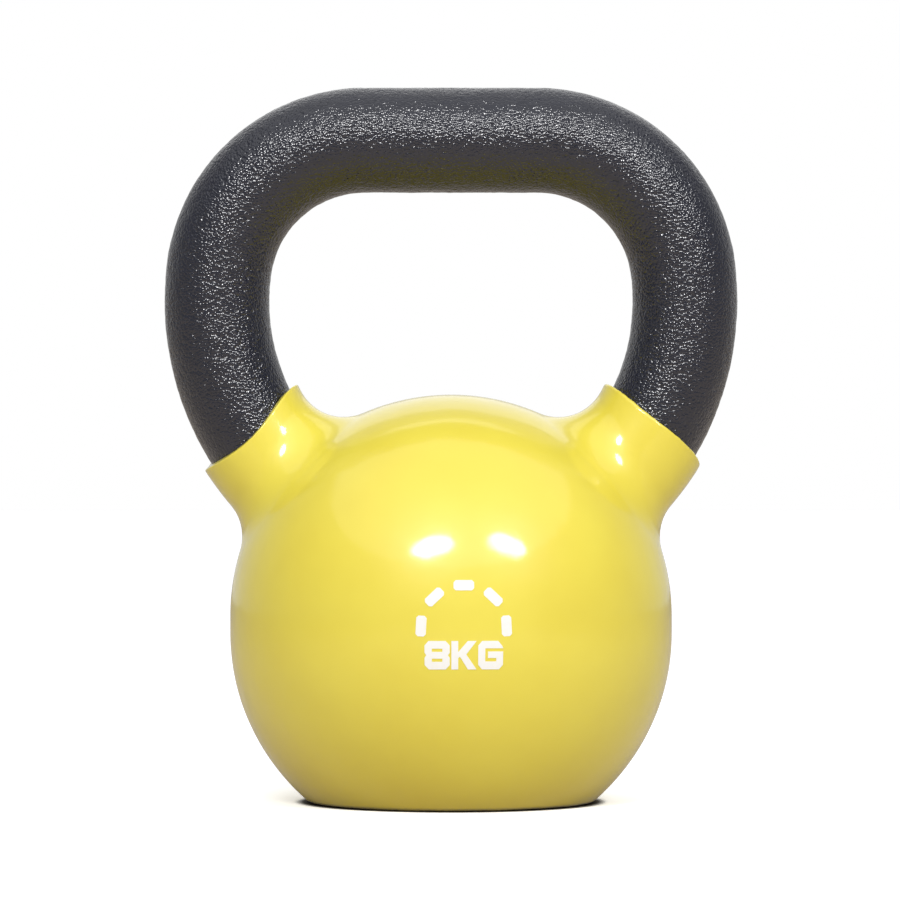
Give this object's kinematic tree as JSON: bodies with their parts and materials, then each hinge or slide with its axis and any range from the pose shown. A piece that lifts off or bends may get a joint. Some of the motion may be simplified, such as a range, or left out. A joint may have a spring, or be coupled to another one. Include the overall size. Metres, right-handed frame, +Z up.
{
  "type": "vinyl-dipped kettlebell",
  "caption": "Round kettlebell: a cast-iron bell with a looped handle in textured enamel, dipped in glossy vinyl up to a collar on each horn, with a flat base.",
  "frame": {"origin": "centre of the flat base, on the surface that the kettlebell stands on", "axes": "+Z up along the bell's axis, the handle's grip along X, the printed face towards -Y"},
  "size_m": [0.1616, 0.125, 0.201],
  "materials": {
    "cast_iron": "matte",
    "handle_enamel": "satin",
    "vinyl": "gloss",
    "ink": "satin"
  },
  "bodies": {
    "root": {"iron_casting": "cast_iron", "handle_enamel": "handle_enamel", "vinyl_coat": "vinyl", "arc_bar_1": "ink", "arc_bar_2": "ink", "arc_bar_3": "ink", "arc_bar_4": "ink", "arc_bar_5": "ink", "weight_figure_8": "ink", "weight_letter_k": "ink", "weight_letter_g": "ink"}
  },
  "joints": []
}
